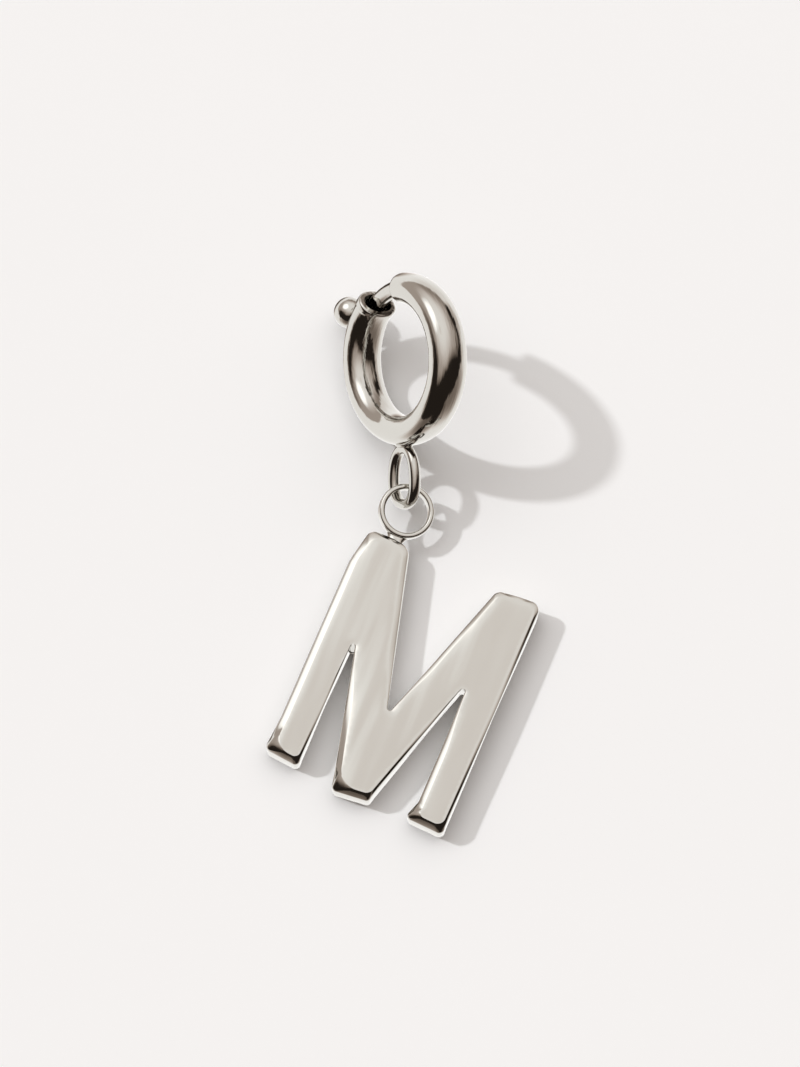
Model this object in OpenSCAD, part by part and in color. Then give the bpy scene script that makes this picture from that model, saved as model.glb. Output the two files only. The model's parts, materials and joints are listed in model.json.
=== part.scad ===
// Letter M charm on a round spring ring clasp, lying on a flat surface.
// The letter lies on its flat back. The clasp leans on the lowest point of its tube.
// Millimetres. +Z is up from the surface, +Y runs from the letter to the clasp.

/* [Clasp tube] */
// Outside diameter of the clasp ring
clasp_d = 18; // [16:0.5:22]
// Thickness of the tube, measured across the ring
tube_w = 3.2; // [3:0.1:4]
// Thickness of the tube, measured along the ring's axis
tube_h = 4.2; // [4.1:0.1:5]
// Wall of the hollow tube
tube_wall = 0.45; // [0.35:0.05:0.5]
// Angle of the gap that the bolt closes
gap_angle = 38; // [30:1:44]
// Where the gap begins, counted round the ring from its high side
gap_start = 65; // [55:1:75]
// Length of the proud rim at the bolt's mouth, as an angle
rim_angle = 5; // [3:0.5:8]
// How far the rim stands proud of the tube
rim_proud = 0.12; // [0.05:0.01:0.2]

/* [Bolt] */
// Diameter of the curved bolt
bolt_d = 1.75; // [1.3:0.05:1.85]
// How far the bolt reaches into the fixed end of the tube, as an angle
seat_angle = 5; // [3:0.5:8]
// Length of the bolt behind its thumb ball, as an angle
tail_angle = 9; // [6:1:14]
// Length of the bolt's bevelled tip
tip_l = 0.3; // [0.1:0.05:0.5]
// Diameter of the thumb ball
ball_d = 3.3; // [2.4:0.1:4]
// How far the thumb ball sits behind the bolt's mouth, as an angle
ball_back = 25; // [18:1:32]
// Clear space between the thumb ball and the tube
ball_gap = 0.1; // [0.05:0.05:0.4]
// Diameter of the stub that carries the thumb ball
stub_d = 1; // [0.8:0.1:1.2]
// Clear space round the stub in its slot
slot_play = 0.15; // [0.1:0.05:0.3]

/* [Clasp loop] */
// Thickness of the loop's wire
loop_wire = 1.1; // [0.9:0.05:1.15]
// Outside length of the loop, away from the clasp
loop_l = 6.85; // [6.2:0.05:7.6]
// Outside width of the loop
loop_w = 5.1; // [5:0.1:5.6]
// How deep the loop is soldered into the tube's wall
solder_sink = 0.25; // [0.15:0.05:0.3]

/* [Letter] */
// Width of the letter over all
letter_w = 20.7; // [18:0.25:24]
// Height of the letter over all
letter_h = 27.7; // [24:0.25:32]
// Thickness of the letter
letter_t = 2.8; // [2.4:0.1:3.2]
// Width of an upright stroke at its foot
upright_w = 3.55; // [3:0.1:4]
// Width of the middle foot
middle_w = 3.7; // [3.4:0.1:4.6]
// How far the right upright's toe flares to the left
toe_l = 0.6; // [0.2:0.05:0.7]
// Radius of the letter's corners at the feet, seen from the front
corner_r = 0.75; // [0.65:0.05:1]
// Radius of the rounded front edges
edge_r = 0.6; // [0.3:0.05:0.62]

/* [Ring on the letter] */
// Outside diameter of the ring
ring_d = 5.6; // [5.4:0.05:6.4]
// Wall of the ring
ring_wall = 0.6; // [0.45:0.05:0.7]
// Depth of the ring along its axis
ring_depth = 1.25; // [1:0.05:1.35]
// Height of the ring's centre above the letter's back
ring_rise = 2.6; // [2.55:0.05:2.7]
// Tilt of the ring, its far side up
ring_tilt = 7; // [5:1:9]
// Roll of the ring, its right side down
ring_roll = 10; // [7:1:12]
// Clear height of solder between the letter's top edge and the ring
solder_h = 0.35; // [0.2:0.05:0.6]
// Width of the solder
solder_w = 2; // [1.4:0.1:2.6]

/* [How it lies] */
// Turn of the letter on the surface
letter_turn = -21.35; // [-24:0.5:-18]
// Tilt of the clasp ring from lying flat
clasp_tilt = 56; // [53:0.5:58]
// Turn of the clasp's lean on the surface
clasp_turn = 15; // [12:1:18]
// Slack of the loop's bow inside the letter's ring
bow_slack = 0.95; // [0.85:0.05:1.1]

/* [Hidden] */
$fn = 64;
hull_fn = 32;
edge_step = 15;
steel = "#d3cfc8";

// The clasp in its own frame: the ring's axis is z, its high side is +x
tube_r = tube_w / 2;
tube_straight = tube_h - tube_w;
bore_r = tube_r - tube_wall;
mid_r = clasp_d / 2 - tube_r;
mouth = gap_start + gap_angle;
travel = gap_angle + seat_angle;
ball_at = mouth + ball_back;
ball_reach = clasp_d / 2 + ball_gap + ball_d / 2;
slot_w = stub_d + 2 * slot_play;
tip_sink = 0.1;
tip_step = 0.1;
slot_angle = (stub_d / 2 + slot_play) / mid_r * 180 / PI;
loop_mid_r = (loop_w - loop_wire) / 2;
loop_straight = loop_l - loop_w;
loop_centre = clasp_d / 2 - solder_sink + loop_l / 2;
bow_reach = loop_centre + (loop_l - loop_wire) / 2;

// The letter in its own frame: x from the left foot, y from the lowest foot, the back at z = 0
ring_r = ring_d / 2;
ring_at = [0.194 * letter_w, letter_h + solder_h + ring_r, ring_rise];

// Where things lie. The letter's ring is the fixed point, and the box's middle is at the origin.
ring_place = [0.37, 5.34, 0];
bow_side = -0.25;
clasp_z = mid_r * sin(clasp_tilt) + tube_r + tube_straight / 2 * cos(clasp_tilt);
bow_place = ring_place + [bow_side, ring_r - ring_wall - loop_wire / 2 - bow_slack, ring_rise];

// The loop points down to the height of the letter's ring
loop_angle = 360 - acos((bow_place.z - clasp_z) / (bow_reach * sin(clasp_tilt)));

// A direction round the clasp ring, in the part's frame
function round_clasp(a) = [
    cos(a) * cos(clasp_tilt) * cos(clasp_turn) - sin(a) * sin(clasp_turn),
    cos(a) * cos(clasp_tilt) * sin(clasp_turn) + sin(a) * cos(clasp_turn),
    cos(a) * sin(clasp_tilt)
];

clasp_place = bow_place - bow_reach * round_clasp(loop_angle);

// Puts the clasp's frame where the clasp leans
module lean_clasp() {
    translate(clasp_place)
        rotate([0, 0, clasp_turn])
            rotate([0, -clasp_tilt, 0])
                children();
}

// The tube's section: two half rounds with a short flat between them
module tube_section(r) {
    square([2 * r, tube_straight], center = true);
    for (side = [-1, 1])
        translate([0, side * tube_straight / 2])
            circle(r);
}

// A stretch of tube round the ring
module tube_arc(r, from, to) {
    rotate_extrude(angle = to - from, start = from)
        translate([mid_r, 0])
            tube_section(r);
}

// The slot that the thumb ball's stub runs in, cut through the outer wall
module ball_slot() {
    rotate_extrude(angle = travel + 2 * slot_angle, start = ball_at - slot_angle)
        translate([mid_r, -slot_w / 2])
            square([tube_w, slot_w]);
}

// The oval loop, one round end soldered to the tube
module clasp_loop() {
    rotate([0, 0, loop_angle])
        translate([loop_centre, 0, 0])
            for (end = [0, 1])
                rotate([0, 0, 180 * end]) {
                    translate([loop_straight / 2, 0, 0])
                        rotate_extrude(angle = 180, start = -90)
                            translate([loop_mid_r, 0])
                                circle(d = loop_wire);
                    translate([-loop_straight / 2, loop_mid_r, 0])
                        rotate([0, 90, 0])
                            cylinder(d = loop_wire, h = loop_straight);
                }
}

module clasp_ring() {
    color(steel)
        lean_clasp()
            difference() {
                union() {
                    tube_arc(tube_r, mouth, gap_start + 360);
                    tube_arc(tube_r + rim_proud, mouth, mouth + rim_angle);
                    clasp_loop();
                }
                tube_arc(bore_r, mouth - 1, gap_start + 361);
                ball_slot();
            }
}

// The curved bolt, its bevelled tip, and the stub and ball that the thumb draws it back with
module bolt() {
    color(steel)
        lean_clasp() {
            rotate_extrude(angle = travel + ball_back + tail_angle, start = gap_start - seat_angle)
                translate([mid_r, 0])
                    circle(d = bolt_d);
            rotate([0, 0, gap_start - seat_angle])
                translate([mid_r, tip_sink, 0])
                    rotate([90, 0, 0])
                        cylinder(d1 = bolt_d - tip_step, d2 = bolt_d - tip_l, h = tip_l + tip_sink);
            rotate([0, 0, ball_at])
                translate([mid_r, 0, 0]) {
                    rotate([0, 90, 0])
                        cylinder(d = stub_d, h = ball_reach - mid_r);
                    translate([ball_reach - mid_r, 0, 0])
                        sphere(d = ball_d);
                }
        }
}

// An upright post whose top edge is rounded. The strokes of the letter are stretched round such posts.
module post(r) {
    for (a = [0:edge_step:90])
        cylinder(r = r - edge_r * (1 - cos(a)), h = letter_t - edge_r * (1 - sin(a)), $fn = hull_fn);
}

// A stroke of the letter. Each corner holds its place across, its place up, and its radius.
module stroke(corners) {
    hull()
        for (corner = corners)
            translate([corner[0], corner[1], 0])
                post(corner[2]);
}

module letter_body() {
    w = letter_w;
    h = letter_h;
    r = corner_r;
    right_foot_at = 0.962 * w - upright_w;
    middle_foot_at = 0.379 * w;
    left_upright = [
        [r, 0.062 * h + r, r],
        [upright_w - r, 0.051 * h + r, r],
        [0.068 * w, 0.86 * h, 1.33 * r],
        [0.106 * w, h - 1.53 * r, 1.53 * r],
        [0.166 * w, h - 1.6 * r, 1.53 * r]
    ];
    left_diagonal = [
        [0.143 * w, h - 1.6 * r, 1.53 * r],
        [0.228 * w, h - 2.24 * r, 1.8 * r],
        [middle_foot_at + r, 0.012 * h + r, r],
        [0.516 * w, 0.1675 * h, r]
    ];
    right_diagonal = [
        [0.804 * w, 0.9105 * h, 1.47 * r],
        [0.925 * w, 0.922 * h, 1.27 * r],
        [0.435 * w, 0.158 * h, r],
        [middle_foot_at + r, 0.012 * h + r, r],
        [middle_foot_at + middle_w - r, 0.019 * h + r, r]
    ];
    right_upright = [
        [right_foot_at + r, 0.009 * h + r, r],
        [right_foot_at + upright_w - r, r, r],
        [w - 1.27 * r, 0.922 * h, 1.27 * r],
        [0.865 * w, 0.922 * h, 1.27 * r]
    ];
    // The outer corner of an upright's foot flares to the left
    left_toe = [
        [r - toe_l / 2, 0.062 * h + r, r],
        [r, 0.062 * h + r + 3 * toe_l, r],
        [upright_w - r, 0.051 * h + r, r]
    ];
    right_toe = [
        [right_foot_at + r - toe_l, 0.009 * h + r, r],
        [right_foot_at + r, 0.009 * h + r + 2 * toe_l, r],
        [right_foot_at + upright_w - r, r, r]
    ];
    for (corners = [left_upright, left_diagonal, right_diagonal, right_upright, left_toe, right_toe])
        stroke(corners);
}

// The short band ring
module letter_ring() {
    translate(ring_at)
        rotate([0, 0, -letter_turn])
            rotate([ring_tilt, ring_roll, 0])
                difference() {
                    cylinder(d = ring_d, h = ring_depth, center = true);
                    cylinder(d = ring_d - 2 * ring_wall, h = 2 * ring_depth, center = true);
                }
}

// The solder that joins the ring to the letter's top edge
module ring_solder() {
    foot_depth = 2.5 * edge_r;
    solder_z = ring_rise - ring_depth / 2;
    translate([ring_at.x - solder_w / 2, letter_h - foot_depth, solder_z])
        cube([solder_w, foot_depth + solder_h + ring_wall / 2, letter_t - edge_r / 2 - solder_z]);
}

module letter_m() {
    color(steel)
        translate(ring_place)
            rotate([0, 0, letter_turn])
                translate([-ring_at.x, -ring_at.y, 0]) {
                    letter_body();
                    letter_ring();
                    ring_solder();
                }
}

clasp_ring();
bolt();
letter_m();
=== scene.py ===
"""Letter M charm on a spring ring clasp: its polished shapes, its metal and its studio."""

import json
import math

import bpy
import numpy as np
from bpy.props import FloatProperty, FloatVectorProperty, PointerProperty
from mathutils import Matrix, Vector
from mathutils.geometry import delaunay_2d_cdt


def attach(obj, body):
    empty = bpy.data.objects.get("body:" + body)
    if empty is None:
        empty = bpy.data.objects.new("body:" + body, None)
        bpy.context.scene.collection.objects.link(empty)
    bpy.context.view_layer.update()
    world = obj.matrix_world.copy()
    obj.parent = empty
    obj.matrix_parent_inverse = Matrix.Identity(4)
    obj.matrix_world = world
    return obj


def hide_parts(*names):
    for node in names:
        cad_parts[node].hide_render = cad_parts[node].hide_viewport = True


bl_info = {
    "name": "Letter charm on a spring ring clasp",
    "version": (1, 0, 0),
    "blender": (4, 5, 0),
    "location": "View3D > Sidebar > Letter charm",
    "description": "Builds a polished letter M charm with its spring ring clasp",
    "category": "Add Mesh",
}

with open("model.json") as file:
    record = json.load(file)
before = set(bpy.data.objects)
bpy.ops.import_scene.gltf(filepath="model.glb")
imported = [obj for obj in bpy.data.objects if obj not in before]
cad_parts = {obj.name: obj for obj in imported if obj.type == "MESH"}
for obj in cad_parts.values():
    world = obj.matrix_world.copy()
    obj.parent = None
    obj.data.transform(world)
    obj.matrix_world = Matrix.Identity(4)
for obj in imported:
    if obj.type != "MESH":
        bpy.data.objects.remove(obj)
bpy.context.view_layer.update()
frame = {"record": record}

# One millimetre in the scene's metres
MM = 0.001
CHARM_BODY = "charm"
BOLT_BODY = "slider"
# The least turn between two faces that still looks like a corner
HARD_CORNER = math.radians(40)

# The bolt turns about the clasp ring's own centre and axis
bolt_joint = frame["record"]["behaviour"]["joints"][0]
CLASP_CENTRE = Vector(bolt_joint["pos_m"]) / MM
CLASP_AXIS = Vector(bolt_joint["axis"]).normalized()
CLASP_HIGH = (Vector((0, 0, 1)) - CLASP_AXIS * CLASP_AXIS.z).normalized()
CLASP_SIDE = CLASP_AXIS.cross(CLASP_HIGH)

# Where the centre of the letter's ring falls on the surface, and how far the letter is turned there
RING_PLACE = Vector((0.37, 5.34, 0))
LETTER_TURN = math.radians(-21.35)
# The same centre, measured from the letter's lower left
RING_ON_LETTER = Vector((4.016, 30.85, 0))

# The middle of the gap in the clasp ring, counted from the ring's high side
GAP_MIDDLE = math.radians(84)


# Settings


def length(name, value, about):
    """A length in millimetres that a user can change."""
    return FloatProperty(name=name, description=about, default=value, min=0.0)


def turn(name, value, about):
    """An angle that a user can change, from its value in degrees."""
    return FloatProperty(name=name, description=about, default=math.radians(value), subtype="ANGLE")


def factor(name, value, about):
    """A share from nothing to all that a user can change."""
    return FloatProperty(name=name, description=about, default=value, subtype="FACTOR")


def strength(name, value, about):
    """The strength of a light, which a user can change."""
    return FloatProperty(name=name, description=about, default=value)


def paint(name, value, about):
    """A colour that a user can change."""
    return FloatVectorProperty(name=name, description=about, default=value, subtype="COLOR", min=0, max=1)


class ClaspSizes(bpy.types.PropertyGroup):
    """Sizes of the clasp ring, in millimetres"""

    ring_r: length("Ring radius", 7.4, "From the clasp's centre to the middle of its tube")
    tube_w: length("Tube width", 3.2, "Thickness of the tube across the ring")
    tube_h: length("Tube height", 4.2, "Thickness of the tube along the ring's axis")
    bore_w: length("Bore width", 2.3, "Width of the hollow in the tube")
    bore_h: length("Bore height", 3.3, "Height of the hollow in the tube")
    mouth: turn("Mouth", 103, "Where the bolt leaves the tube, counted from the ring's high side")
    far_end: turn("Far end", 425, "Where the tube ends on the other side of the gap")
    rim_proud: length("Rim", 0.12, "How far the mouth's rim stands proud of the tube")
    rim_l: length("Rim length", 0.72, "Length of the mouth's rim along the tube")
    loop_wire: length("Loop wire", 1.1, "Thickness of the loop's wire")
    loop_l: length("Loop length", 6.85, "Outside length of the loop")
    loop_w: length("Loop width", 5.1, "Outside width of the loop")
    loop_sink: length("Loop sink", 0.25, "How deep the loop is soldered into the tube")
    loop_at: turn("Loop place", 244.28, "Where the loop stands on the ring")


class BoltSizes(bpy.types.PropertyGroup):
    """Sizes of the sliding bolt, in millimetres"""

    rod_d: length("Rod", 1.75, "Diameter of the curved rod")
    tip: turn("Tip", 60, "Where the rod's tip rests in the tube's far end")
    tail: turn("Tail", 137, "Where the rod ends inside the tube")
    ball_at: turn("Ball place", 128, "Where the thumb ball stands on the ring")
    ball_d: length("Ball", 3.3, "Diameter of the thumb ball")
    ball_reach: length("Ball reach", 10.75, "From the clasp's centre to the thumb ball's centre")
    stub_d: length("Stub", 1.0, "Diameter of the stub under the thumb ball")


class LetterSizes(bpy.types.PropertyGroup):
    """Sizes of the letter and its ring, in millimetres"""

    thick: length("Thickness", 2.8, "Thickness of the letter")
    bevel: factor("Bevel", 1.0, "Width of the polished edge round the face, as a share of its usual widths")
    bevel_h: length("Bevel height", 0.9, "Height of the polished edge at the ends of the feet")
    crown: length("Crown", 0.045, "How far the middle of each stroke rises above the face's edge")
    ring_d: length("Ring", 5.8, "Outside diameter of the ring on the letter")
    ring_wall: length("Ring wall", 0.6, "Wall of the ring")
    ring_depth: length("Ring depth", 1.25, "Depth of the ring along its axis")
    ring_sink: length("Ring sink", 0.12, "How far the ring is pushed towards the letter in soldering")
    ring_rise: length("Ring height", 2.6, "Height of the ring's centre above the letter's back")
    ring_tilt: turn("Ring tilt", 7, "Tilt of the ring, its far side up")
    ring_roll: turn("Ring roll", 10, "Roll of the ring, its right side down")


class MetalLook(bpy.types.PropertyGroup):
    """Colour and polish of the metal"""

    colour: paint("Metal", (0.575, 0.56, 0.525), "Colour of the metal")
    face_blur: factor("Face blur", 0.12, "Roughness of the letter's face")
    clasp_blur: factor("Clasp blur", 0.08, "Roughness of the clasp")


class StudioLook(bpy.types.PropertyGroup):
    """Light and surface of the studio"""

    floor: paint("Surface", (0.951, 0.962, 0.971), "Colour of the surface")
    key: strength("Key light", 1.35, "Strength of the key light")
    key_soft: turn("Key softness", 3.0, "Apparent width of the key light")
    fill: strength("Fill light", 1.22, "Strength of the light all round")


# Mesh helpers


def bands(rows, count, wrap_rows=False):
    """The faces between rings of points, each ring joined to the next."""
    here = np.arange(rows * count).reshape(rows, count)
    if wrap_rows:
        here = np.vstack([here, here[:1]])
    here = np.hstack([here, here[:, :1]])
    quads = np.stack([here[:-1, :-1], here[:-1, 1:], here[1:, 1:], here[1:, :-1]], axis=-1)
    return quads.reshape(-1, 4).tolist()


def skin(name, points, wrap_rows=False):
    """A closed mesh over rings of points, the right way out."""
    rows, count = points.shape[:2]
    faces = bands(rows, count, wrap_rows)
    if not wrap_rows:
        faces.append(list(range(count))[::-1])
        faces.append(list(range((rows - 1) * count, rows * count)))
    piece = solid(name, points.reshape(-1, 3), faces)
    outwards(piece)
    return piece


def solid(name, points, faces):
    """A smooth-shaded object from points in millimetres."""
    mesh = bpy.data.meshes.new(name)
    mesh.from_pydata((np.asarray(points) * MM).tolist(), [], faces)
    mesh.validate()
    mesh.update()
    piece = bpy.data.objects.new(name, mesh)
    bpy.context.collection.objects.link(piece)
    smooth(mesh)
    return piece


def smooth(mesh, sharp=HARD_CORNER):
    """Shades a mesh smooth, with its hard corners kept."""
    mesh.polygons.foreach_set("use_smooth", [True] * len(mesh.polygons))
    mesh.set_sharp_from_angle(angle=sharp)


def outwards(piece):
    """Turns a closed mesh the right way out."""
    mesh = piece.data
    corners = np.empty(len(mesh.vertices) * 3)
    mesh.vertices.foreach_get("co", corners)
    corners = corners.reshape(-1, 3)
    mesh.calc_loop_triangles()
    tris = np.array([t.vertices[:] for t in mesh.loop_triangles])
    a, b, c = corners[tris[:, 0]], corners[tris[:, 1]], corners[tris[:, 2]]
    if np.einsum("ij,ij->i", a, np.cross(b, c)).sum() < 0:
        mesh.flip_normals()


def cut(piece, cutter):
    """Takes the cutter's shape out of a piece."""
    change = piece.modifiers.new("cut", "BOOLEAN")
    change.operation = "DIFFERENCE"
    change.solver = "EXACT"
    change.object = cutter
    whole = piece.evaluated_get(bpy.context.evaluated_depsgraph_get())
    left = bpy.data.meshes.new_from_object(whole)
    piece.modifiers.clear()
    piece.data = left
    bpy.data.objects.remove(cutter)
    smooth(left)


def join(name, pieces):
    """One object from several, each still a closed shell."""
    points, faces = [], []
    for piece in pieces:
        start = len(points)
        points += [v.co[:] for v in piece.data.vertices]
        faces += [[start + i for i in p.vertices] for p in piece.data.polygons]
        bpy.data.objects.remove(piece)
    return solid(name, np.array(points) / MM, faces)


def finish(piece, body, material, *nodes):
    """Gives a piece its metal and its body, and hides the solids that it stands for."""
    piece.data.materials.clear()
    piece.data.materials.append(material)
    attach(piece, body)
    if nodes:
        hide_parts(*nodes)


def superellipse(half_w, half_h, count, power=2.2):
    """Points round a section a little squarer than an ellipse."""
    angles = np.linspace(0, 2 * math.pi, count, endpoint=False)
    across = np.sign(np.cos(angles)) * np.abs(np.cos(angles)) ** (2 / power) * half_w
    along = np.sign(np.sin(angles)) * np.abs(np.sin(angles)) ** (2 / power) * half_h
    return np.stack([across, along], axis=-1)


# Metal

# How far the place in the polishing moves on, in metres, over a radian round the clasp
STROKE_ROUND_CLASP = 0.0012
# How much longer than wide the polishing's ripples are on the letter
STROKE_UP_LETTER = 7


def link(tree, source, target):
    """Joins two sockets."""
    tree.links.new(source, target)


def maths(tree, operation, *values):
    """The result of a Math node. Each value is a socket or a number."""
    node = tree.nodes.new("ShaderNodeMath")
    node.operation = operation
    for socket, value in zip(node.inputs, values):
        if isinstance(value, bpy.types.NodeSocket):
            link(tree, value, socket)
        else:
            socket.default_value = value
    return node.outputs[0]


def polish_group():
    """Node group: how hand polishing varies over the metal, as a roughness and a height."""
    name = "hand polish"
    if name in bpy.data.node_groups:
        return bpy.data.node_groups[name]
    group = bpy.data.node_groups.new(name, "ShaderNodeTree")
    sockets = group.interface
    sockets.new_socket("Place", in_out="INPUT", socket_type="NodeSocketVector")
    usual = {
        "Blur": 0.1,
        "Blur spread": 0.04,
        "Ripple size": 300.0,
        "Streak size": 2000.0,
        "Streak depth": 0.1,
    }
    for label, value in usual.items():
        sockets.new_socket(label, in_out="INPUT", socket_type="NodeSocketFloat").default_value = value
    sockets.new_socket("Roughness", in_out="OUTPUT", socket_type="NodeSocketFloat")
    sockets.new_socket("Height", in_out="OUTPUT", socket_type="NodeSocketFloat")
    entry = group.nodes.new("NodeGroupInput")
    leave = group.nodes.new("NodeGroupOutput")
    ripple = polish_noise(group, entry, "Ripple size", detail=1.5)
    streak = polish_noise(group, entry, "Streak size", detail=3.0)
    blur, spread = entry.outputs["Blur"], entry.outputs["Blur spread"]
    roughness = group.nodes.new("ShaderNodeMapRange")
    # Nearly all of the noise lies between these two
    roughness.inputs["From Min"].default_value = 0.3
    roughness.inputs["From Max"].default_value = 0.7
    link(group, streak, roughness.inputs["Value"])
    link(group, maths(group, "SUBTRACT", blur, spread), roughness.inputs["To Min"])
    link(group, maths(group, "ADD", blur, spread), roughness.inputs["To Max"])
    height = maths(group, "MULTIPLY_ADD", streak, entry.outputs["Streak depth"], ripple)
    link(group, roughness.outputs["Result"], leave.inputs["Roughness"])
    link(group, height, leave.inputs["Height"])
    return group


def polish_noise(group, entry, size, detail):
    """The unevenness of one size, over the place that the material gives."""
    noise = group.nodes.new("ShaderNodeTexNoise")
    noise.inputs["Detail"].default_value = detail
    link(group, entry.outputs["Place"], noise.inputs["Vector"])
    link(group, entry.outputs[size], noise.inputs["Scale"])
    return noise.outputs["Fac"]


def clasp_axes(angle):
    """The directions away from the clasp's centre and along its ring, at an angle."""
    out = np.array(CLASP_HIGH) * math.cos(angle) + np.array(CLASP_SIDE) * math.sin(angle)
    over = np.array(CLASP_SIDE) * math.cos(angle) - np.array(CLASP_HIGH) * math.sin(angle)
    return out, over


def stretched_place(tree, middle, axes, stretch):
    """A place in a piece's own axes, in metres, drawn out along the stroke of the polishing."""
    place = tree.nodes.new("ShaderNodeTexCoord")
    turned = tree.nodes.new("ShaderNodeMapping")
    turned.vector_type = "TEXTURE"
    turned.inputs["Location"].default_value = middle
    turned.inputs["Rotation"].default_value = axes.to_euler()
    turned.inputs["Scale"].default_value = stretch
    link(tree, place.outputs["Object"], turned.inputs["Vector"])
    return turned.outputs["Vector"]


def place_round_clasp(tree):
    """The place on the clasp: out from its centre and along its axis, hardly changing round the ring."""
    back, under = clasp_axes(GAP_MIDDLE)
    axes = Matrix((-back, -under, CLASP_AXIS)).transposed()
    flat = tree.nodes.new("ShaderNodeSeparateXYZ")
    link(tree, stretched_place(tree, CLASP_CENTRE * MM, axes, (1, 1, 1)), flat.inputs[0])
    level = tree.nodes.new("ShaderNodeCombineXYZ")
    link(tree, flat.outputs["X"], level.inputs["X"])
    link(tree, flat.outputs["Y"], level.inputs["Y"])
    out = tree.nodes.new("ShaderNodeVectorMath")
    out.operation = "LENGTH"
    link(tree, level.outputs[0], out.inputs[0])
    round_it = maths(tree, "ARCTAN2", flat.outputs["Y"], flat.outputs["X"])
    place = tree.nodes.new("ShaderNodeCombineXYZ")
    link(tree, maths(tree, "MULTIPLY", round_it, STROKE_ROUND_CLASP), place.inputs["X"])
    link(tree, out.outputs["Value"], place.inputs["Y"])
    link(tree, flat.outputs["Z"], place.inputs["Z"])
    return place.outputs[0]


def place_along_letter(tree):
    """The place on the letter, drawn out along its height."""
    axes = Matrix.Rotation(LETTER_TURN, 3, "Z")
    return stretched_place(tree, RING_PLACE * MM, axes, (1, STROKE_UP_LETTER, 1))


def metal(name, place, blur, spread, ripple, streaks, depth):
    """Polished warm metal with the faint unevenness of hand polishing, its depth in millimetres."""
    if name in bpy.data.materials:
        return bpy.data.materials[name]
    material = bpy.data.materials.new(name)
    material.use_nodes = True
    tree = material.node_tree
    shader = tree.nodes["Principled BSDF"]
    shader.inputs["Base Color"].default_value = (*bpy.context.scene.charm_metal.colour, 1)
    shader.inputs["Metallic"].default_value = 1.0
    polish = tree.nodes.new("ShaderNodeGroup")
    polish.node_tree = polish_group()
    polish.inputs["Blur"].default_value = blur
    polish.inputs["Blur spread"].default_value = spread
    polish.inputs["Ripple size"].default_value = ripple
    polish.inputs["Streak depth"].default_value = streaks
    link(tree, place(tree), polish.inputs["Place"])
    bump = tree.nodes.new("ShaderNodeBump")
    bump.inputs["Strength"].default_value = 1.0
    bump.inputs["Distance"].default_value = depth * MM
    link(tree, polish.outputs["Roughness"], shader.inputs["Roughness"])
    link(tree, polish.outputs["Height"], bump.inputs["Height"])
    link(tree, bump.outputs["Normal"], shader.inputs["Normal"])
    return material


def clasp_metal():
    """The mirror polish of the clasp."""
    blur = bpy.context.scene.charm_metal.clasp_blur
    return metal(
        "clasp metal", place_round_clasp, blur=blur, spread=0.03, ripple=500.0, streaks=1.6, depth=0.02
    )


def ring_metal():
    """The polish of the small rings and their solder."""
    blur = 0.8 * bpy.context.scene.charm_metal.clasp_blur
    return metal(
        "ring metal", place_round_clasp, blur=blur, spread=0.02, ripple=900.0, streaks=0.5, depth=0.02
    )


def letter_metal():
    """The softer polish of the letter, with its long shallow ripples."""
    blur = bpy.context.scene.charm_metal.face_blur
    return metal(
        "letter metal", place_along_letter, blur=blur, spread=0.03, ripple=260.0, streaks=0.015, depth=0.16
    )


# Clasp

# How far the even rows of a tube or rod keep from its rounded end, as a share of that rounding
END_CLEAR = 1.1


def clasp_points(angles, across, along):
    """Points at angles round the clasp ring, at distances from its axis and from its plane."""
    centre, axis = np.array(CLASP_CENTRE), np.array(CLASP_AXIS)
    high, side = np.array(CLASP_HIGH), np.array(CLASP_SIDE)
    spoke = np.cos(angles)[..., None] * high + np.sin(angles)[..., None] * side
    return centre + spoke * np.asarray(across)[..., None] + axis * np.asarray(along)[..., None]


def end_round(radius, steps):
    """Distances from an edge, and how far the surface is drawn in there, round a quarter circle."""
    angles = np.linspace(0, math.pi / 2, steps)
    return radius * (1 - np.cos(angles)), radius * (1 - np.sin(angles))


def tube_stations(sizes):
    """Angles along the tube from its mouth to its far end, and how far the wall stands out at each."""
    lip_r, end_r, step_l = 0.22, 0.42, 0.1
    arc = 1 / sizes.ring_r
    lip_back, lip_drop = end_round(lip_r, 7)
    rim = np.array([0.5, 0.8, 0.95]) * (sizes.rim_l - lip_r) + lip_r
    fall = np.linspace(0, 1, 5)
    first = sizes.mouth + (sizes.rim_l + 3 * step_l) * arc
    body = np.linspace(first, sizes.far_end - END_CLEAR * end_r * arc, 240)
    end_back, end_drop = end_round(end_r, 9)
    at = [
        sizes.mouth + lip_back * arc,
        sizes.mouth + rim * arc,
        sizes.mouth + (sizes.rim_l + fall * step_l) * arc,
        body,
        (sizes.far_end - end_back * arc)[::-1],
    ]
    out = [
        sizes.rim_proud - lip_drop,
        np.full(len(rim), sizes.rim_proud),
        sizes.rim_proud * (0.5 + 0.5 * np.cos(fall * math.pi)),
        np.zeros(len(body)),
        -end_drop[::-1],
    ]
    return np.concatenate(at), np.concatenate(out)


def build_tube(sizes):
    """The hollow tube with its proud rim at the mouth."""
    around = 96
    at, out = tube_stations(sizes)
    outer = np.stack([superellipse(sizes.tube_w / 2 + o, sizes.tube_h / 2 + o, around) for o in out])
    inner_at = np.linspace(sizes.far_end, sizes.mouth, 120)
    bore = superellipse(sizes.bore_w / 2, sizes.bore_h / 2, around)
    inner = np.repeat(bore[None], len(inner_at), axis=0)
    section = np.concatenate([outer, inner])
    angles = np.concatenate([at, inner_at])[:, None] * np.ones(around)
    points = clasp_points(angles, sizes.ring_r + section[..., 0], section[..., 1])
    return skin("clasp_tube", points, wrap_rows=True)


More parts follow.
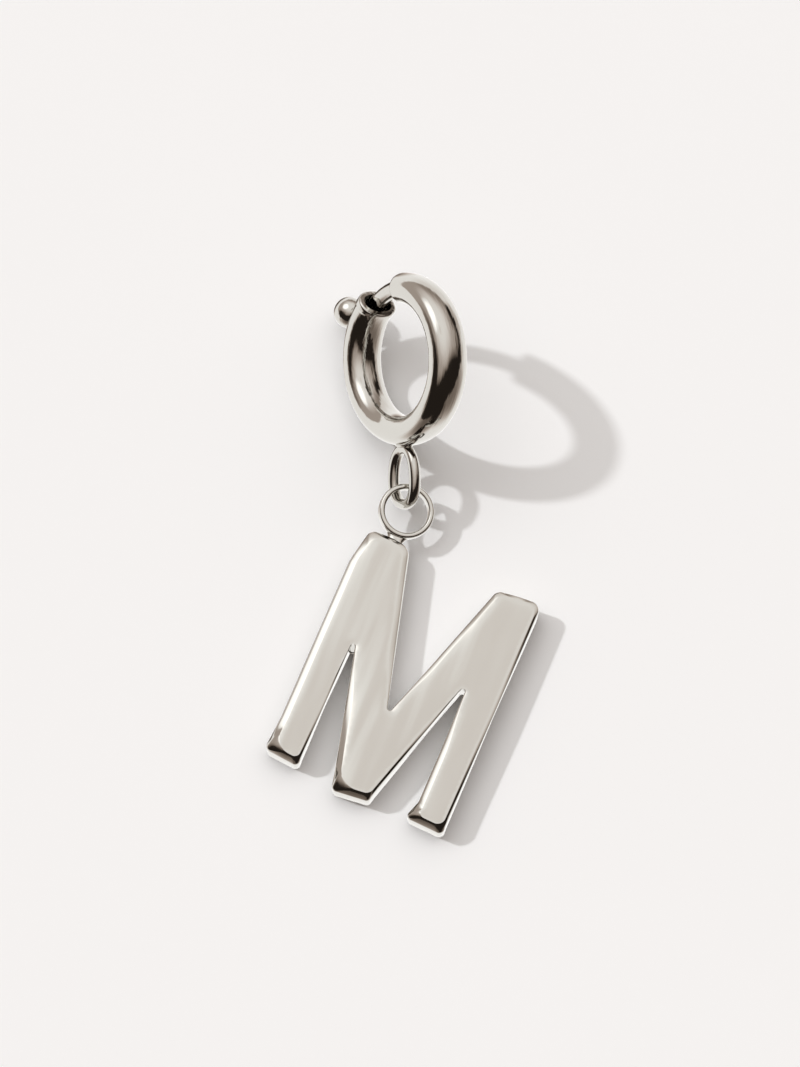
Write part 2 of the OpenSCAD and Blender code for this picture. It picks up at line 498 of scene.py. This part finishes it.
def slot_cutter(sizes, bolt):
    """The shape of the slot that the thumb ball's stub runs in."""
    play, travel, steps = 0.15, math.radians(43), 40
    half_w = bolt.stub_d / 2 + play
    arc = half_w / sizes.ring_r
    half_turn = np.linspace(-math.pi / 2, math.pi / 2, 9)
    round_end, round_side = arc * np.cos(half_turn), half_w * np.sin(half_turn)
    near = np.stack([bolt.ball_at - round_end, round_side], axis=-1)
    far = np.stack([bolt.ball_at + travel + round_end, -round_side], axis=-1)
    angles = np.linspace(bolt.ball_at, bolt.ball_at + travel, steps)
    low = np.stack([angles[::-1], np.full(steps, -half_w)], axis=-1)[1:-1]
    outline = np.concatenate([near, low[::-1] * [1, -1], far, low])
    rows = []
    for reach in (sizes.ring_r, sizes.ring_r + sizes.tube_w):
        rows.append(clasp_points(outline[:, 0], np.full(len(outline), reach), outline[:, 1]))
    return skin("slot", np.stack(rows))


def build_loop(sizes):
    """The loop, narrower where it is soldered to the tube, its wire thicker at the sides than at the bow."""
    around, along, narrow, fuller = 32, 110, 0.16, 0.1
    long_r = (sizes.loop_l - sizes.loop_wire) / 2
    wide_r = (sizes.loop_w - sizes.loop_wire) / 2
    centre = sizes.ring_r + sizes.tube_w / 2 - sizes.loop_sink + sizes.loop_l / 2
    path = superellipse(long_r, wide_r, along, power=2.25)
    path[:, 1] *= 1 - narrow * (1 - path[:, 0] / long_r) / 2
    ahead = np.roll(path, -1, axis=0) - np.roll(path, 1, axis=0)
    ahead /= np.linalg.norm(ahead, axis=1)[:, None]
    beside = np.stack([ahead[:, 1], -ahead[:, 0]], axis=-1)
    wire = superellipse(sizes.loop_wire / 2, sizes.loop_wire / 2, around, power=2.1)
    full = 1 + fuller * np.clip(1 - (path[:, 0] / long_r) ** 2, 0, 1)[:, None]
    inwards = wire[None, :, 0] * np.where(wire[None, :, 0] < 0, 2 * full - 1, 1)
    flat = path[:, None] + beside[:, None] * inwards[..., None]
    lift = wire[None, :, 1] * full
    out, over = clasp_axes(sizes.loop_at)
    points = (
        np.array(CLASP_CENTRE)
        + (centre + flat[..., :1]) * out
        + flat[..., 1:] * over
        + lift[..., None] * np.array(CLASP_AXIS)
    )
    return skin("clasp_loop", points, wrap_rows=True)


def build_loop_solder(sizes):
    """The small bead of solder between the loop and the tube."""
    around, rows, pole = 32, 14, 0.05
    long_r, wide_r, tall_r, sink = 1.15, 0.8, 0.42, 0.12
    out, over = clasp_axes(sizes.loop_at)
    base = sizes.ring_r + sizes.tube_w / 2 - sink
    spin = np.linspace(0, 2 * math.pi, around, endpoint=False)
    points = []
    for lift in np.linspace(pole - math.pi / 2, math.pi / 2 - pole, rows):
        ring = (
            np.cos(spin)[:, None] * over * long_r * math.cos(lift)
            + np.sin(spin)[:, None] * np.array(CLASP_AXIS) * wide_r * math.cos(lift)
            + out * (base + tall_r * math.sin(lift))
        )
        points.append(np.array(CLASP_CENTRE) + ring)
    return skin("loop_solder", np.stack(points))


class CHARM_OT_clasp(bpy.types.Operator):
    """Builds the clasp's tube, its loop and the solder between them"""

    bl_idname = "charm.build_clasp"
    bl_label = "Clasp ring"

    def execute(self, context):
        sizes = context.scene.charm_clasp
        tube = build_tube(sizes)
        cut(tube, slot_cutter(sizes, context.scene.charm_bolt))
        finish(tube, CHARM_BODY, clasp_metal(), "clasp_ring")
        loop = build_loop(sizes)
        finish(loop, CHARM_BODY, ring_metal(), "clasp_ring")
        bead = build_loop_solder(sizes)
        finish(bead, CHARM_BODY, ring_metal(), "clasp_ring")
        return {"FINISHED"}


# Bolt


def build_rod(sizes, ring_r):
    """The curved rod with its rounded ends."""
    around, end_r = 40, 0.3
    arc = 1 / ring_r
    back, drop = end_round(end_r, 8)
    clear = END_CLEAR * end_r * arc
    body = np.linspace(sizes.tip + clear, sizes.tail - clear, 70)
    at = np.concatenate([sizes.tip + back * arc, body, (sizes.tail - back * arc)[::-1]])
    out = np.concatenate([-drop, np.zeros(len(body)), -drop[::-1]])
    rod_r = sizes.rod_d / 2
    section = np.stack([superellipse(rod_r + o, rod_r + o, around, power=2.0) for o in out])
    points = clasp_points(at[:, None] * np.ones(around), ring_r + section[..., 0], section[..., 1])
    return skin("rod", points)


def build_thumb_ball(sizes, ring_r):
    """The thumb ball on its stub, turned as one profile."""
    around, fillet, pole = 64, 0.25, 0.02
    ball_r, stub_r = sizes.ball_d / 2, sizes.stub_d / 2
    meet = math.asin((stub_r + fillet) / (ball_r + fillet))
    under = sizes.ball_reach - (ball_r + fillet) * math.cos(meet)
    profile = [(ring_r, pole), (ring_r, stub_r)]
    for angle in np.linspace(0, math.pi / 2 - meet, 6):
        profile.append((under + fillet * math.sin(angle), stub_r + fillet * (1 - math.cos(angle))))
    for angle in np.linspace(math.pi - meet, pole, 44)[1:]:
        profile.append((sizes.ball_reach + ball_r * math.cos(angle), ball_r * math.sin(angle)))
    out, over = clasp_axes(sizes.ball_at)
    spin = np.linspace(0, 2 * math.pi, around, endpoint=False)
    beside = np.cos(spin)[:, None] * over + np.sin(spin)[:, None] * np.array(CLASP_AXIS)
    rings = [np.array(CLASP_CENTRE) + reach * out + radius * beside for reach, radius in profile]
    return skin("ball", np.stack(rings))


class CHARM_OT_bolt(bpy.types.Operator):
    """Builds the sliding bolt and its thumb ball"""

    bl_idname = "charm.build_bolt"
    bl_label = "Bolt"

    def execute(self, context):
        sizes, ring_r = context.scene.charm_bolt, context.scene.charm_clasp.ring_r
        bolt = join("sliding_bolt", [build_rod(sizes, ring_r), build_thumb_ball(sizes, ring_r)])
        finish(bolt, BOLT_BODY, clasp_metal(), "bolt")
        return {"FINISHED"}


# Letter

# Corners of the letter's outline, against the clock from the left foot. Each has its place across and up
# from the letter's lower left, the radius of the outline and of the face's edge there, and the width of
# the polished edge from it to the next corner, all in millimetres.
LETTER_CORNERS = [
    (0.06, 5.6, 6.0, 6.0, 0.82),
    (-0.32, 1.86, 0.7, 1.8, 0.58),
    (3.6, 1.33, 0.55, 0.6, 0.27),
    (4.03, 17.0, 0.22, 0.8, 0.72),
    (7.68, 0.27, 0.6, 2.2, 0.6),
    (11.65, 0.52, 0.5, 0.9, 0.27),
    (16.75, 16.5, 0.26, 0.8, 0.7),
    (16.45, 2.3, 1.0, 1.2, 0.85),
    (15.66, 0.34, 0.5, 1.8, 0.6),
    (19.95, -0.02, 0.6, 1.1, 0.3),
    (20.74, 26.5, 1.0, 1.3, 0.38),
    (15.86, 26.24, 0.95, 1.5, 0.55),
    (10.14, 9.5, 0.25, 0.8, 0.62),
    (5.76, 27.35, 1.5, 1.9, 0.42),
    (1.24, 27.8, 0.95, 1.7, 0.78),
    (0.42, 23.8, 4.0, 4.0, 0.82),
]
# The notches and the V, where the polished edge narrows to a fine line
INNER_CORNERS = (3, 6, 12)
# The sides at the ends of the three feet
FOOT_SIDES = (1, 4, 8)


def letter_point(across, up, height):
    """A point of the letter in the part's frame, in millimetres."""
    right, ahead = across - RING_ON_LETTER.x, up - RING_ON_LETTER.y
    turn_cos, turn_sin = math.cos(LETTER_TURN), math.sin(LETTER_TURN)
    x = RING_PLACE.x + right * turn_cos - ahead * turn_sin
    y = RING_PLACE.y + right * turn_sin + ahead * turn_cos
    return np.stack([x, y, np.broadcast_to(height, np.shape(x))], axis=-1)


def eased(share):
    """A share from 0 to 1 that starts and ends softly."""
    return share * share * (3 - 2 * share)


def side_lengths(corners):
    """The length of each side, from its corner to the next."""
    return np.linalg.norm(np.roll(corners, -1, axis=0) - corners, axis=1)


def fitting_radii(corners, radii, halves):
    """The corner radii, made smaller where two of them would meet on one side."""
    usable = 0.97
    reach = radii / np.tan(halves)
    room = np.minimum(1, usable * side_lengths(corners) / (reach + np.roll(reach, -1)))
    return radii * np.minimum(room, np.roll(room, 1))


def rounded(corners, radii, spans, steps):
    """A closed outline with round corners: steps points at each corner and spans points along each side."""
    back = np.roll(corners, 1, axis=0) - corners
    ahead = np.roll(corners, -1, axis=0) - corners
    back /= np.linalg.norm(back, axis=1)[:, None]
    ahead /= np.linalg.norm(ahead, axis=1)[:, None]
    halves = np.arccos(np.clip((back * ahead).sum(axis=1), -1, 1)) / 2
    radii = fitting_radii(corners, np.asarray(radii), halves)
    starts = corners + back * (radii / np.tan(halves))[:, None]
    ends = corners + ahead * (radii / np.tan(halves))[:, None]
    inward = (back + ahead) / np.linalg.norm(back + ahead, axis=1)[:, None]
    middles = corners + inward * (radii / np.sin(halves))[:, None]
    outline = []
    for i, middle in enumerate(middles):
        first, last = (math.atan2(*(p - middle)[::-1]) for p in (starts[i], ends[i]))
        swing = (last - first + math.pi) % (2 * math.pi) - math.pi
        angles = first + swing * np.linspace(0, 1, steps)
        outline.append(middle + radii[i] * np.stack([np.cos(angles), np.sin(angles)], axis=-1))
        share = np.linspace(0, 1, spans[i] + 2)[1:-1, None]
        outline.append(ends[i] * (1 - share) + starts[(i + 1) % len(corners)] * share)
    return np.concatenate(outline)


def inset_corners(corners, widths):
    """The corners drawn in from each side by that side's own width."""
    in_line = 0.02
    along = (np.roll(corners, -1, axis=0) - corners) / side_lengths(corners)[:, None]
    normal = np.stack([along[:, 1], -along[:, 0]], axis=-1)
    moved = corners - normal * widths[:, None]
    result = []
    for i in range(len(corners)):
        gap, before, after = moved[i] - moved[i - 1], along[i - 1], along[i]
        cross = before[0] * after[1] - before[1] * after[0]
        if abs(cross) < in_line:
            result.append(corners[i] - (normal[i - 1] * widths[i - 1] + normal[i] * widths[i]) / 2)
        else:
            reach = (gap[0] * after[1] - gap[1] * after[0]) / cross
            result.append(moved[i - 1] + before * reach)
    return np.array(result)


def edge_share(outline, along, corners):
    """How wide the polished edge is at each point, as a share: it narrows towards the inner corners."""
    reach, least = 7.0, 0.15
    share = np.ones(len(outline))
    for inner in INNER_CORNERS:
        tip = along[np.argmin(np.linalg.norm(outline - corners[inner], axis=1))]
        away = np.abs((along - tip + along[-1] / 2) % along[-1] - along[-1] / 2)
        share = np.minimum(share, least + (1 - least) * eased(np.clip(away / reach, 0, 1)))
    return share


def foot_share(outline, along, corners):
    """How far each point belongs to the end of a foot, where the edge is a steep chamfer."""
    reach_before, reach_after = 2.6, 1.0
    share = np.zeros(len(outline))
    for side in FOOT_SIDES:
        ends = [along[np.argmin(np.linalg.norm(outline - end, axis=1))] for end in corners[side : side + 2]]
        away = np.maximum(ends[0] - along, along - ends[1])
        reach = np.where(along < ends[0], reach_before, reach_after)
        share = np.maximum(share, eased(np.clip(1 - away / reach, 0, 1)))
    return share


def edge_profile(steps, stops, slopes, runs):
    """How far in and how far up the polished edge goes, from its slopes at a few stops."""
    share = np.linspace(0, 1, steps)
    slope, run = np.radians(np.interp(share, stops, slopes)), np.interp(share, stops, runs)
    inward = np.concatenate([[0], np.cumsum(np.cos(slope) * run)])
    upward = np.concatenate([[0], np.cumsum(np.sin(slope) * run)])
    return inward / inward[-1], upward / upward[-1]


def face_grid(outline, pitch):
    """Points inside an outline on a grid of triangles, none close to the outline."""
    clear = 0.45 * pitch
    low, high = outline.min(axis=0), outline.max(axis=0)
    points = []
    for row, up in enumerate(np.arange(low[1], high[1], pitch * math.sin(math.pi / 3))):
        across = np.arange(low[0] + (row % 2) * pitch / 2, high[0], pitch)
        points.append(np.stack([across, np.full(len(across), up)], axis=-1))
    points = np.concatenate(points)
    inside = np.zeros(len(points), bool)
    near = np.full(len(points), np.inf)
    for start, end in zip(outline, np.roll(outline, -1, axis=0)):
        side = end - start
        if side[1]:
            beside = (start[1] > points[:, 1]) != (end[1] > points[:, 1])
            inside ^= beside & (points[:, 0] < start[0] + (points[:, 1] - start[1]) / side[1] * side[0])
        share = np.clip(((points - start) @ side) / (side @ side), 0, 1)
        near = np.minimum(near, np.linalg.norm(points - start - share[:, None] * side, axis=1))
    return points[inside & (near > clear)]


def stretched_film(points, tris, fixed):
    """Height of a film that is blown up a little over the outline, held at the first points."""
    count = len(points)
    pull = np.zeros((count, count))
    load = np.zeros(count)
    for one, other, third in (tris[:, [0, 1, 2]].T, tris[:, [1, 2, 0]].T, tris[:, [2, 0, 1]].T):
        first, second = points[one] - points[third], points[other] - points[third]
        area = np.abs(first[:, 0] * second[:, 1] - first[:, 1] * second[:, 0])
        weight = np.einsum("ij,ij->i", first, second) / np.maximum(area, 1e-9) / 2
        for here, there in ((one, other), (other, one)):
            np.add.at(pull, (here, there), -weight)
            np.add.at(pull, (here, here), weight)
        np.add.at(load, one, area / 6)
    height = np.zeros(count)
    height[fixed:] = np.linalg.solve(pull[fixed:, fixed:], load[fixed:])
    return height


def letter_outlines(sizes, pitch):
    """The letter's outline, the face's edge inside it, and how far each point belongs to a foot."""
    steps = 14
    corners = np.array([c[:2] for c in LETTER_CORNERS])
    outer_r, inner_r, widths = np.array([c[2:] for c in LETTER_CORNERS]).T
    spans = [max(2, int(side / pitch)) for side in side_lengths(corners)]
    outline = rounded(corners, outer_r, spans, steps)
    inset = rounded(inset_corners(corners, widths * sizes.bevel), inner_r, spans, steps)
    along = np.cumsum(np.linalg.norm(outline - np.roll(outline, 1, axis=0), axis=1))
    edge = outline + (inset - outline) * edge_share(outline, along, corners)[:, None]
    return outline, edge, foot_share(outline, along, corners)


def back_rows(outline, edge, foot):
    """The rounding of the back's edge, drawn in a little except at the feet, so that the walls lean."""
    back_r, lean = 0.12, 0.18
    inwards = (edge - outline) / np.linalg.norm(edge - outline, axis=1)[:, None]
    rows = []
    for angle in np.linspace(0, math.pi / 2, 4):
        back = outline + inwards * (back_r * (1 - math.sin(angle)) + lean * (1 - foot))[:, None]
        rows.append(letter_point(back[:, 0], back[:, 1], back_r * (1 - math.cos(angle))))
    return rows


def edge_rows(sizes, outline, edge, foot):
    """The polished edge from the walls up to the face: a steep chamfer at the feet, else a soft shoulder."""
    steps, least_h, soft_rise = 16, 0.08, 0.75
    chamfer = edge_profile(steps, stops=(0, 0.12, 0.93, 1), slopes=(82, 58, 36, 8), runs=(0.3, 1, 1, 0.12))
    shoulder = edge_profile(
        steps, stops=(0, 0.4, 0.55, 0.93, 1), slopes=(86, 66, 20, 13, 6), runs=(0.6, 0.5, 1, 1, 0.12)
    )
    soft_h = least_h + soft_rise * np.linalg.norm(edge - outline, axis=1)
    height = foot * sizes.bevel_h + (1 - foot) * soft_h
    rows = []
    for steep_in, steep_up, soft_in, soft_up in zip(*chamfer, *shoulder):
        inward = (soft_in + (steep_in - soft_in) * foot)[:, None]
        upward = soft_up + (steep_up - soft_up) * foot
        ring = outline + (edge - outline) * inward
        rows.append(letter_point(ring[:, 0], ring[:, 1], sizes.thick - sizes.crown - height * (1 - upward)))
    return rows


def crowned_face(sizes, edge, pitch):
    """The face's points inside its edge, and the triangles over the edge's points and then these."""
    count = len(edge)
    flat = np.concatenate([edge, face_grid(edge, pitch)])
    loop = [(i, (i + 1) % count) for i in range(count)]
    filled, _, tris, *_ = delaunay_2d_cdt([Vector(p) for p in flat], loop, [], 1, 1e-6)
    if len(filled) != len(flat):
        raise RuntimeError("the letter's face can't be filled: two of its points coincide")
    tris = np.array(tris)
    film = stretched_film(flat, tris, count)
    height = sizes.thick - sizes.crown + sizes.crown * (1 - np.exp(-film))
    return letter_point(flat[count:, 0], flat[count:, 1], height[count:]), tris


def build_letter(sizes):
    """The letter: a flat back, walls that lean in a little, a polished edge and a slightly crowned face."""
    pitch, hard_corner = 0.36, math.radians(18)
    outline, edge, foot = letter_outlines(sizes, pitch)
    rows = back_rows(outline, edge, foot) + edge_rows(sizes, outline, edge, foot)
    middle, tris = crowned_face(sizes, edge, pitch)
    count = len(outline)
    faces = bands(len(rows), count)
    faces += (tris + (len(rows) - 1) * count).tolist()
    faces.append(list(range(count))[::-1])
    letter = solid("letter_body", np.concatenate(rows + [middle]), faces)
    smooth(letter.data, hard_corner)
    outwards(letter)
    return letter


def ring_frame(sizes):
    """The middle of the letter's ring and the directions across, along and up it."""
    tilt = Matrix.Rotation(sizes.ring_roll, 3, "Y") @ Matrix.Rotation(sizes.ring_tilt, 3, "X")
    centre = letter_point(RING_ON_LETTER.x, RING_ON_LETTER.y - sizes.ring_sink, sizes.ring_rise)
    return centre, np.array(tilt)


def build_ring(sizes):
    """The short band ring with rounded rims."""
    around, rim_r = 120, 0.26
    outer, inner, half = sizes.ring_d / 2, sizes.ring_d / 2 - sizes.ring_wall, sizes.ring_depth / 2
    quarters = (
        (outer - rim_r, half - rim_r, 0),
        (inner + rim_r, half - rim_r, 90),
        (inner + rim_r, rim_r - half, 180),
        (outer - rim_r, rim_r - half, 270),
    )
    profile = []
    for out, up, start in quarters:
        for angle in np.radians(np.linspace(start, start + 90, 6)):
            profile.append((out + rim_r * math.cos(angle), up + rim_r * math.sin(angle)))
    profile = np.array(profile)
    centre, axes = ring_frame(sizes)
    spin = np.linspace(0, 2 * math.pi, around, endpoint=False)
    round_it = np.stack([np.cos(spin), np.sin(spin), np.zeros(around)], axis=-1)
    local = round_it[:, None] * profile[None, :, :1] + np.array([0, 0, 1.0]) * profile[None, :, 1:]
    return skin("letter_ring", centre + local @ axes.T, wrap_rows=True)


def build_ring_solder():
    """The solder neck between the ring and the letter's top edge, hollowed at its sides."""
    rows, around, hollow = 15, 36, 1.6
    low, high, middle = 26.75, 28.2, 2.16
    wide, waist, tall, waist_tall = 1.25, 0.85, 0.5, 0.41
    points = []
    for row, up in enumerate(np.linspace(low, high, rows)):
        bow = abs(2 * row / (rows - 1) - 1) ** hollow
        half_w, half_h = waist + (wide - waist) * bow, waist_tall + (tall - waist_tall) * bow
        section = superellipse(half_w, half_h, around, power=2.3)
        up_here = np.full(around, up)
        points.append(letter_point(RING_ON_LETTER.x + section[:, 0], up_here, middle + section[:, 1]))
    return skin("ring_solder", np.stack(points))


class CHARM_OT_letter(bpy.types.Operator):
    """Builds the letter, the ring on it and the solder between them"""

    bl_idname = "charm.build_letter"
    bl_label = "Letter"

    def execute(self, context):
        sizes = context.scene.charm_letter
        finish(build_letter(sizes), CHARM_BODY, letter_metal(), "letter_m")
        finish(build_ring(sizes), CHARM_BODY, ring_metal(), "letter_m")
        finish(build_ring_solder(), CHARM_BODY, ring_metal(), "letter_m")
        return {"FINISHED"}


# Studio

# Where the middle of the photograph falls on the surface
VIEW_PLACE = Vector((-0.32, 3.69, 0))
# How steeply the camera looks at that place, and from how many millimetres away
VIEW_RISE, VIEW_AWAY = math.radians(72), 520.0
# The photograph's height in pixels, and how many of them show one millimetre
PHOTO_HEIGHT, PIXELS_PER_MM = 1067, 9.6

# Half the width of the surface, in millimetres
SURFACE_HALF = 900.0
# Where the key light comes from, and its colour
KEY_FROM = Vector((-1.13, 0.46, 1.0)).normalized()
KEY_COLOUR = (0.985, 0.99, 1.0)

# Soft lights and dark sides of the room: the turn from +X, the rise, the inner and outer reach, all in
# degrees, and how much brighter each makes the room, or darker where this is below zero
STUDIO_SIDES = [
    (80, 65, 10, 60, 0.49),
    (136, 52, 4, 24, 0.85),
    (-105, 2, 6, 56, -0.85),
    (-42, 4, 6, 56, -0.8),
    (-75, 38, 8, 25, -0.32),
    (-154, 27, 6, 28, -0.42),
    (38, 2, 8, 22, -0.45),
    (12, 3, 6, 20, -0.4),
    (75, 4, 8, 32, -0.15),
    (-172, 15, 5, 26, -0.36),
    (122, -44, 10, 28, -0.95),
    (84, 76, 1, 8, -0.1),
    (108, 71, 1, 7, 0.1),
]
# Brightness of the room, and how much brighter the pale surface makes everything below the horizon
ROOM, SURFACE_GLOW = 0.45, 0.55
# Softness of the horizon, and the brightness of the darkest places
HORIZON, DARKEST = 0.015, 0.02
# Tints of the room's light where it is dark and where it is bright
DARK_TINT = (1.0, 0.77, 0.62, 1)
BRIGHT_TINT = (1.0, 0.99, 0.98, 1)


def direction(turn_deg, rise_deg):
    """A unit vector at a turn from +X and a rise above the surface."""
    way, rise = math.radians(turn_deg), math.radians(rise_deg)
    return Vector((math.cos(rise) * math.cos(way), math.cos(rise) * math.sin(way), math.sin(rise)))


def room_side(tree, place, side):
    """How much brighter or darker one of the room's sides makes each direction."""
    turn_deg, rise_deg, inner, outer, amount = side
    dot = tree.nodes.new("ShaderNodeVectorMath")
    dot.operation = "DOT_PRODUCT"
    dot.inputs[1].default_value = direction(turn_deg, rise_deg)
    link(tree, place, dot.inputs[0])
    reach = tree.nodes.new("ShaderNodeMapRange")
    reach.interpolation_type = "SMOOTHSTEP"
    reach.inputs["From Min"].default_value = math.cos(math.radians(outer))
    reach.inputs["From Max"].default_value = math.cos(math.radians(inner))
    reach.inputs["To Max"].default_value = amount
    link(tree, dot.outputs["Value"], reach.inputs["Value"])
    return reach.outputs["Result"]


def studio_world(look):
    """The light all round: a grey room with soft lights and dark sides, warmer where it is darker."""
    world = bpy.data.worlds.new("studio")
    bpy.context.scene.world = world
    world.use_nodes = True
    tree = world.node_tree
    back = tree.nodes["Background"]
    place = tree.nodes.new("ShaderNodeTexCoord").outputs["Generated"]
    up = tree.nodes.new("ShaderNodeSeparateXYZ")
    link(tree, place, up.inputs[0])
    below = tree.nodes.new("ShaderNodeMapRange")
    below.inputs["From Min"].default_value = HORIZON
    below.inputs["From Max"].default_value = -HORIZON
    below.inputs["To Min"].default_value = ROOM
    below.inputs["To Max"].default_value = ROOM + SURFACE_GLOW
    link(tree, up.outputs["Z"], below.inputs["Value"])
    level = below.outputs["Result"]
    for side in STUDIO_SIDES:
        level = maths(tree, "ADD", level, room_side(tree, place, side))
    level = maths(tree, "MAXIMUM", level, DARKEST)
    tint = tree.nodes.new("ShaderNodeMix")
    tint.data_type = "RGBA"
    tint.inputs["A"].default_value = DARK_TINT
    tint.inputs["B"].default_value = BRIGHT_TINT
    link(tree, level, tint.inputs["Factor"])
    shade = tree.nodes.new("ShaderNodeVectorMath")
    shade.operation = "SCALE"
    link(tree, tint.outputs["Result"], shade.inputs[0])
    link(tree, level, shade.inputs["Scale"])
    link(tree, shade.outputs["Vector"], back.inputs["Color"])
    back.inputs["Strength"].default_value = look.fill


def surface(look):
    """The plain pale surface that the charm lies on, with a faint cloudiness."""
    half = SURFACE_HALF
    corners = [(-half, -half, 0), (half, -half, 0), (half, half, 0), (-half, half, 0)]
    plane = solid("surface", corners, [(0, 1, 2, 3)])
    material = bpy.data.materials.new("pale surface")
    material.use_nodes = True
    tree = material.node_tree
    shader = tree.nodes["Principled BSDF"]
    shader.inputs["Roughness"].default_value = 0.9
    shader.inputs["Specular IOR Level"].default_value = 0.1
    grain = tree.nodes.new("ShaderNodeTexNoise")
    grain.inputs["Scale"].default_value = 40.0
    ramp = tree.nodes.new("ShaderNodeMapRange")
    ramp.inputs["To Min"].default_value = 0.985
    ramp.inputs["To Max"].default_value = 1.0
    shade = tree.nodes.new("ShaderNodeVectorMath")
    shade.operation = "SCALE"
    shade.inputs[0].default_value = look.floor
    link(tree, grain.outputs["Fac"], ramp.inputs["Value"])
    link(tree, ramp.outputs["Result"], shade.inputs["Scale"])
    link(tree, shade.outputs["Vector"], shader.inputs["Base Color"])
    plane.data.materials.append(material)
    plane.visible_glossy = False


def key_light(look):
    """The one directed light, from the upper left."""
    away = 0.4
    data = bpy.data.lights.new("key", "SUN")
    data.energy = look.key
    data.angle = look.key_soft
    data.color = KEY_COLOUR
    light = bpy.data.objects.new("key", data)
    light.rotation_mode = "QUATERNION"
    light.rotation_quaternion = KEY_FROM.to_track_quat("Z", "Y")
    light.location = KEY_FROM * away
    light.visible_glossy = False
    bpy.context.collection.objects.link(light)


def camera():
    """The camera at the photograph's angle, square to its frame."""
    data = bpy.data.cameras.new("camera")
    data.sensor_fit = "VERTICAL"
    data.sensor_height = 36.0
    data.lens = data.sensor_height * VIEW_AWAY / (PHOTO_HEIGHT / PIXELS_PER_MM)
    data.clip_start = 0.01
    data.clip_end = 10.0
    eye = bpy.data.objects.new("camera", data)
    back = Vector((0, -math.cos(VIEW_RISE), math.sin(VIEW_RISE)))
    eye.location = (VIEW_PLACE + back * VIEW_AWAY) * MM
    eye.rotation_euler = (math.pi / 2 - VIEW_RISE, 0, 0)
    bpy.context.collection.objects.link(eye)
    bpy.context.scene.camera = eye


class CHARM_OT_studio(bpy.types.Operator):
    """Sets up the surface, the lights and the camera"""

    bl_idname = "charm.build_studio"
    bl_label = "Studio"

    def execute(self, context):
        look = context.scene.charm_studio
        surface(look)
        studio_world(look)
        key_light(look)
        camera()
        context.scene.view_settings.view_transform = "Standard"
        return {"FINISHED"}


# Add-on

OPERATORS = (CHARM_OT_clasp, CHARM_OT_bolt, CHARM_OT_letter, CHARM_OT_studio)
SETTINGS = {
    "charm_clasp": ClaspSizes,
    "charm_bolt": BoltSizes,
    "charm_letter": LetterSizes,
    "charm_metal": MetalLook,
    "charm_studio": StudioLook,
}


class CHARM_PT_panel(bpy.types.Panel):
    """Lists the charm's settings and the buttons that build it"""

    bl_idname = "CHARM_PT_panel"
    bl_label = "Letter charm"
    bl_space_type = "VIEW_3D"
    bl_region_type = "UI"
    bl_category = "Letter charm"

    def draw(self, context):
        for attribute, group in SETTINGS.items():
            box = self.layout.box()
            box.label(text=group.__doc__)
            for name in group.__annotations__:
                box.prop(getattr(context.scene, attribute), name)
        for operator in OPERATORS:
            self.layout.operator(operator.bl_idname)


def register():
    """Registers the settings, the operators and the panel."""
    for group in (*SETTINGS.values(), *OPERATORS, CHARM_PT_panel):
        bpy.utils.register_class(group)
    for attribute, group in SETTINGS.items():
        setattr(bpy.types.Scene, attribute, PointerProperty(type=group))


def unregister():
    """Takes the settings, the operators and the panel away again."""
    for attribute in SETTINGS:
        delattr(bpy.types.Scene, attribute)
    for group in (CHARM_PT_panel, *OPERATORS, *SETTINGS.values()):
        bpy.utils.unregister_class(group)


def main():
    """Builds everything in order."""
    register()
    bpy.ops.charm.build_clasp()
    bpy.ops.charm.build_bolt()
    bpy.ops.charm.build_letter()
    bpy.ops.charm.build_studio()


if __name__ == "__main__":
    main()
